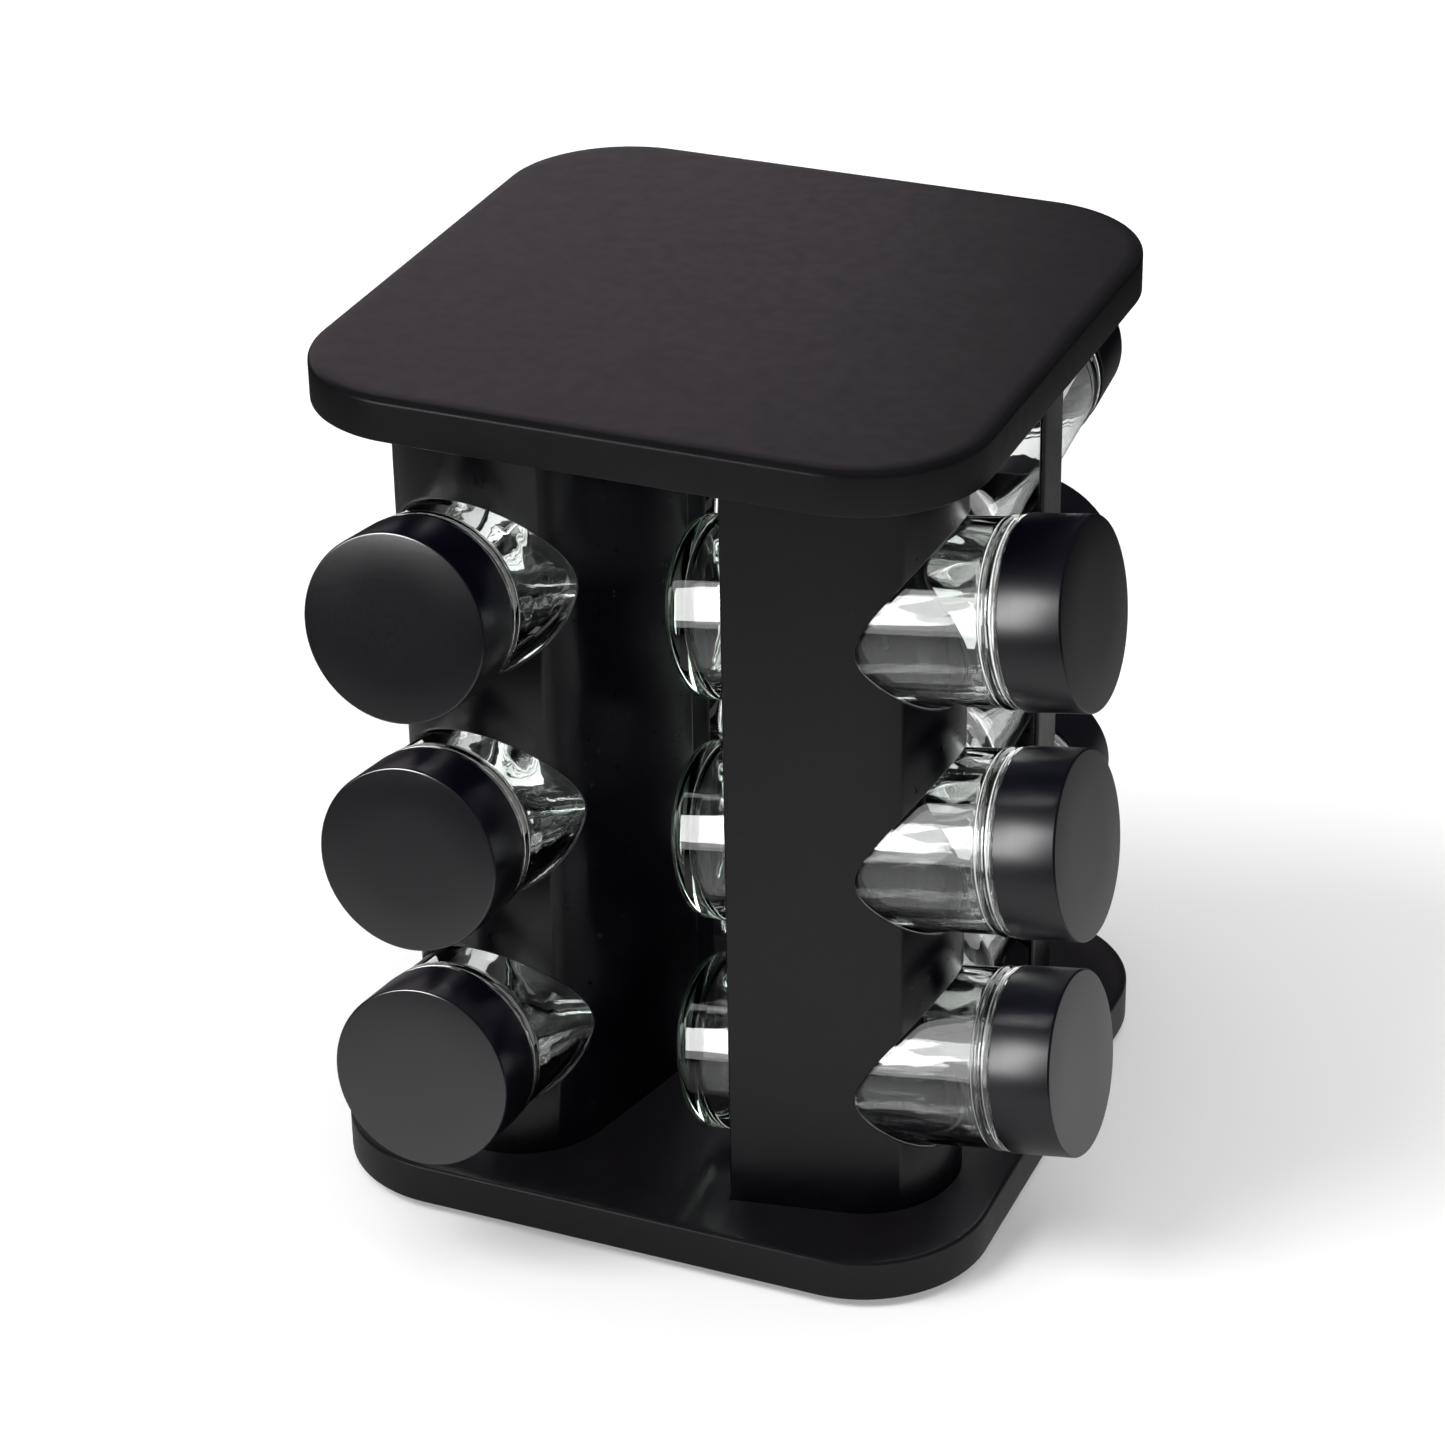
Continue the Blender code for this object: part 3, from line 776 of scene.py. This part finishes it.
def two_finish_lid():
    """The lid's face and skirt take different materials."""
    mesh = turned("lid", lid_profile(), segments=112)
    mesh.materials.append(lid_side_finish)
    mesh.materials.append(lid_face_finish)
    for face in mesh.polygons:
        if face.center.z > JAR_LENGTH - 0.1 * MM:
            face.material_index = 1
    return mesh


def build_jars():
    jar_mesh = turned("jar_glass", jar_profile(), segments=112)
    lid_mesh = two_finish_lid()
    insert_mesh = sifter_mesh()
    for side in range(SIDES):
        for tier, label in enumerate(TIERS):
            place = jar_matrix(side, tier)
            tag = f"{side + 1}_{label}"
            jar, lid, sifter = f"jar_{tag}", f"lid_{tag}", f"sifter_{tag}"
            add_piece(f"{jar}_glass", jar_mesh, glass, jar, jar, place)
            add_piece(f"{lid}_cap", lid_mesh, lid_side_finish, lid, lid, place)
            add_piece(f"{sifter}_insert", insert_mesh, insert_finish, jar, sifter, place)


# ---- swivel base -----------------------------------------------------------------------------
def repaint(node, finish):
    """Give a CAD piece that is shown as it is a real finish."""
    obj = frame["nodes"][node]
    for index in range(len(obj.material_slots)):
        obj.material_slots[index].material = finish


def build_foot():
    """A disc with a ball track, and a hub that is hollowed for the pivot screw and its washer."""
    edge = 0.5 * MM
    track_floor, hub_top, seat = 4.4 * MM, 6.9 * MM, 4.1 * MM
    pivot, washer = 2.5 * MM, 6.5 * MM
    profile = arc(FOOT_RADIUS - edge, FOOT_LOW + edge, edge, -90, 0, 4)
    profile += arc(FOOT_RADIUS - edge, FOOT_HIGH - edge, edge, 0, 90, 4)
    profile += [(TRACK_OUTER, FOOT_HIGH), (TRACK_OUTER, track_floor),
                (TRACK_INNER, track_floor), (TRACK_INNER, FOOT_HIGH),
                (HUB_RADIUS, FOOT_HIGH), (HUB_RADIUS, hub_top), (pivot, hub_top), (pivot, seat),
                (washer, seat), (washer, FOOT_LOW)]
    mesh = turned("swivel_foot_disc", profile, segments=128, ring_shaped=True)
    add_piece("swivel_foot_disc", mesh, foot_finish, "swivel_foot", "swivel_foot")


def build_pads():
    """Round rubber pads under the foot."""
    edge = 0.4 * MM
    profile = [(AXIS, 0.0)] + arc(PAD_RADIUS - edge, edge, edge, -90, 0, 3)
    profile += arc(PAD_RADIUS - edge, PAD_HEIGHT - edge, edge, 0, 90, 3) + [(AXIS, PAD_HEIGHT)]
    mesh = turned("pad", profile, segments=48)
    for i in range(PADS):
        name = f"rubber_pad_{i + 1}"
        low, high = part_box(name)
        place = Matrix.Translation(((low.x + high.x) / 2, (low.y + high.y) / 2, 0.0))
        add_piece(f"{name}_disc", mesh, rubber, "swivel_foot", name, place)


def build_swivel():
    """The foot and pads are rebuilt rounder, and the small CAD pieces get real finishes."""
    build_foot()
    build_pads()
    repaint("ball_cage", foot_finish)
    for node in frame["nodes"]:
        if node != "ball_cage" and node.startswith(("ball_", "pivot_", "column_screw_")):
            repaint(node, steel)


# ---- stage -----------------------------------------------------------------------------------
def disc(name, radius, z, finish):
    """A flat round piece of the stage."""
    bm = bmesh.new()
    bmesh.ops.create_circle(bm, cap_ends=True, segments=96, radius=radius)
    obj = bpy.data.objects.new(name, finish_mesh(name, bm))
    obj.location.z = z
    obj.data.materials.append(finish)
    bpy.context.scene.collection.objects.link(obj)
    return obj


def build_floor():
    """A wide white floor, which isn't mirrored."""
    white = Nodes("floor_white")
    white.set(Roughness=0.8, Specular_IOR_Level=0.0)
    white.shader.inputs["Base Color"].default_value = (FLOOR_WHITE, FLOOR_WHITE, FLOOR_WHITE, 1.0)
    floor = disc("floor", 4.0, 0.0, white.material)
    floor.visible_glossy = False


def build_table_card():
    """What glossy surfaces see in the floor's place: a glowing disc with a painted reflection of a table
    top and a painted pool of light round the rack.
    """
    table = Nodes("painted_table_reflection")
    # painted pool of light, brightest beside the rack and fading outwards
    pool = table.distance_from((0.12, -0.20, 0.0))
    lit = table.remap(pool, 1.0, 0.0, from_low=0.10, from_high=1.0)
    # painted shade: the glow is dimmed close round the rack's own footprint
    rack = table.distance_from((0.0, 0.0, 0.0))
    painted_shade = table.remap(rack, 0.45, 1.0, from_low=0.10, from_high=0.17)
    glow = table.maths("MULTIPLY", table.maths("POWER", lit, 1.8), painted_shade)
    emission = table.tree.nodes.new("ShaderNodeEmission")
    table.link(table.maths("MULTIPLY", glow, TABLE_GLOW), emission.inputs["Strength"])
    table.link(emission.outputs["Emission"], table.output.inputs["Surface"])
    card = disc("table_card", 2.0, -1.0 * MM, table.material)
    card.visible_camera = card.visible_diffuse = False
    card.visible_transmission = card.visible_shadow = False


# ---- light -----------------------------------------------------------------------------------
def add_light(name, data, away):
    """A light whose beam comes from the given direction."""
    light = bpy.data.objects.new(name, data)
    light.rotation_euler = away.to_track_quat("Z", "Y").to_euler()
    bpy.context.scene.collection.objects.link(light)
    return light


def softbox(name, direction, distance, size, radiance, colour=(1.0, 1.0, 1.0)):
    """A rectangular soft light, facing the rack's middle, that makes only reflections and highlights."""
    away = Vector(direction).normalized()
    data = bpy.data.lights.new(name, "AREA")
    data.shape = "RECTANGLE"
    data.size, data.size_y = size
    data.energy = radiance * math.pi * size[0] * size[1]
    data.color = colour
    light = add_light(name, data, away)
    light.location = RACK_MIDDLE + away * distance
    light.visible_camera = light.visible_diffuse = False
    return light


def aim(light, state, objects):
    """The light reaches only these objects, or all but these, as a studio's flags would make it."""
    chosen = bpy.data.collections.new(f"{light.name}_chosen")
    light.light_linking.receiver_collection = chosen
    for obj in objects:
        chosen.objects.link(obj)
    for entry in chosen.collection_objects:
        entry.light_linking.link_state = state


def broad_light(name, direction, floor_share, spread, shadows):
    """A distant soft light that isn't mirrored, its spread in degrees.

    It gives the floor this share of full white.
    """
    away = Vector(direction).normalized()
    data = bpy.data.lights.new(name, "SUN")
    data.angle = math.radians(spread)
    data.energy = floor_share * math.pi / (FLOOR_WHITE * away.z)
    data.use_shadow = shadows
    light = add_light(name, data, away)
    light.visible_camera = light.visible_glossy = light.visible_transmission = False


def build_world():
    """A white room whose strength depends on the kind of surface that meets it."""
    world = bpy.data.worlds.new("studio")
    world.use_nodes = True
    tree = world.node_tree
    background = tree.nodes["Background"]
    background.inputs["Color"].default_value = (1.0, 1.0, 1.0, 1.0)
    ray = tree.nodes.new("ShaderNodeLightPath").outputs

    def both(operation, first, second):
        node = tree.nodes.new("ShaderNodeMath")
        node.operation = operation
        node.use_clamp = True
        tree.links.new(first, node.inputs[0])
        tree.links.new(second, node.inputs[1])
        return node.outputs["Value"]

    def where(share, strength, otherwise):
        node = tree.nodes.new("ShaderNodeMapRange")
        node.inputs["To Max"].default_value = strength
        tree.links.new(share, node.inputs["Value"])
        if isinstance(otherwise, float):
            node.inputs["To Min"].default_value = otherwise
        else:
            tree.links.new(otherwise, node.inputs["To Min"])
        return node.outputs["Result"]

    mirrored = both("MULTIPLY", ray["Glossy Depth"], ray["Is Singular Ray"])
    satin = both("SUBTRACT", ray["Is Glossy Ray"], ray["Is Singular Ray"])
    strength = where(mirrored, ROOM_IN_GLASS, ROOM_SEEN)
    strength = where(satin, ROOM_IN_SATIN, strength)
    strength = where(ray["Is Diffuse Ray"], ROOM_ON_MATT, strength)
    tree.links.new(strength, background.inputs["Strength"])
    bpy.context.scene.world = world


def build_light():
    """A key from the left, a low light on the plates' edges, a faint back wall and soft daylight."""
    plates = [bpy.data.objects[name] for name in ("top_plate_body", "base_plate_body")]
    key = softbox("key_left", direction=(-0.47, -0.80, 0.36), distance=1.3, size=(0.46, 0.80),
                  radiance=13.5)
    aim(key, "EXCLUDE", plates)
    rim = softbox("plate_rim", direction=(-0.45, -0.85, 0.13), distance=1.4, size=(0.70, 0.22),
                  radiance=7.0)
    aim(rim, "INCLUDE", plates)
    softbox("back_wall", direction=(-0.72, 0.64, 0.41), distance=1.7, size=(1.9, 1.0),
            radiance=0.45, colour=(1.0, 0.86, 0.93))
    broad_light("from_the_left", direction=(-0.48, -0.40, 0.79), floor_share=0.36, spread=27.0,
                shadows=True)
    broad_light("fill", direction=(0.0, 0.0, 1.0), floor_share=0.63, spread=60.0, shadows=False)
    build_world()
    bpy.context.scene.view_settings.view_transform = "Standard"


# ---- camera ----------------------------------------------------------------------------------
def build_camera():
    """Three-quarter view from the front right corner, above the rack."""
    low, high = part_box("top_plate")
    side = high.x - low.x
    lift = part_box("base_plate")[0].z
    azimuth, elevation, roll = map(math.radians, (CAMERA_AZIMUTH, CAMERA_ELEVATION, CAMERA_ROLL))
    level = math.cos(elevation)
    back = Vector((math.sin(azimuth) * level, -math.cos(azimuth) * level, math.sin(elevation)))
    target = CAMERA_TARGET * side + Vector((0.0, 0.0, lift))
    data = bpy.data.cameras.new("camera")
    data.sensor_width = 36.0
    data.lens = CAMERA_LENS
    camera = bpy.data.objects.new("camera", data)
    camera.location = target + back * CAMERA_DISTANCE * side
    camera.rotation_mode = "QUATERNION"
    upright = back.to_track_quat("Z", "Y")
    camera.rotation_quaternion = upright @ Matrix.Rotation(roll, 3, "Z").to_quaternion()
    data.clip_start, data.clip_end = 0.05, 20.0
    bpy.context.scene.collection.objects.link(camera)
    bpy.context.scene.camera = camera


# ---- the scene -------------------------------------------------------------------------------
build_camera()
build_top_plate()
build_base_plate()
build_columns()
build_jars()
build_swivel()
build_floor()
build_table_card()
build_light()
